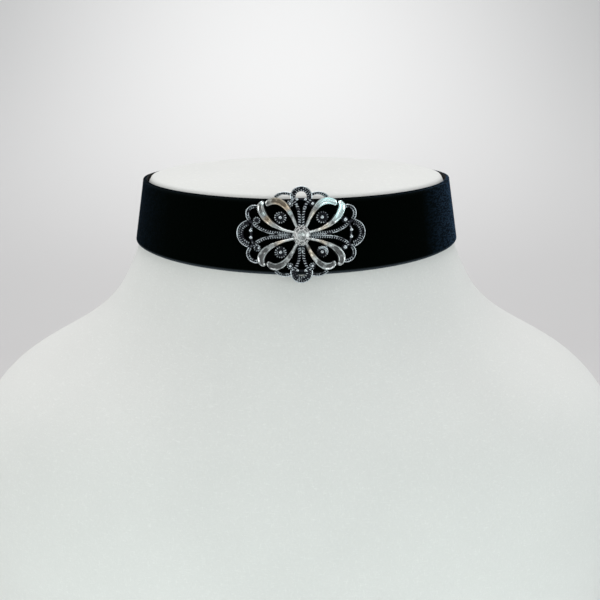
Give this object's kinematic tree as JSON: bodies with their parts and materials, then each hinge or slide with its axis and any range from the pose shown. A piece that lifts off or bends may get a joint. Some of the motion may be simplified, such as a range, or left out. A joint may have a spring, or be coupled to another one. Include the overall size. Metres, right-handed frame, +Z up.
{
  "type": "choker necklace on a neck bust",
  "caption": "Velvet ribbon choker with a pierced, scalloped filigree and an oval faceted stone at its front, fastened round a plain cloth-covered neck bust.",
  "frame": {"origin": "middle of the bust's flat base", "axes": "+Z up along the neck, -Y to the front where the filigree is, +X to the right as seen from the front"},
  "size_m": [0.262, 0.13, 0.2099],
  "materials": {
    "velvet": "short black pile with a navy sheen, smooth woven edges",
    "antique_silver": "antique silver, polished on the raised strips, dark in the recesses",
    "clear_stone": "clear faceted",
    "clasp_metal": "satin",
    "bust_cloth": "white fine woven cloth"
  },
  "bodies": {
    "root": {"velvet_ribbon": "velvet", "filigree": "antique_silver", "stone": "clear_stone", "clasp": "clasp_metal", "neck_bust": "bust_cloth"}
  },
  "joints": []
}
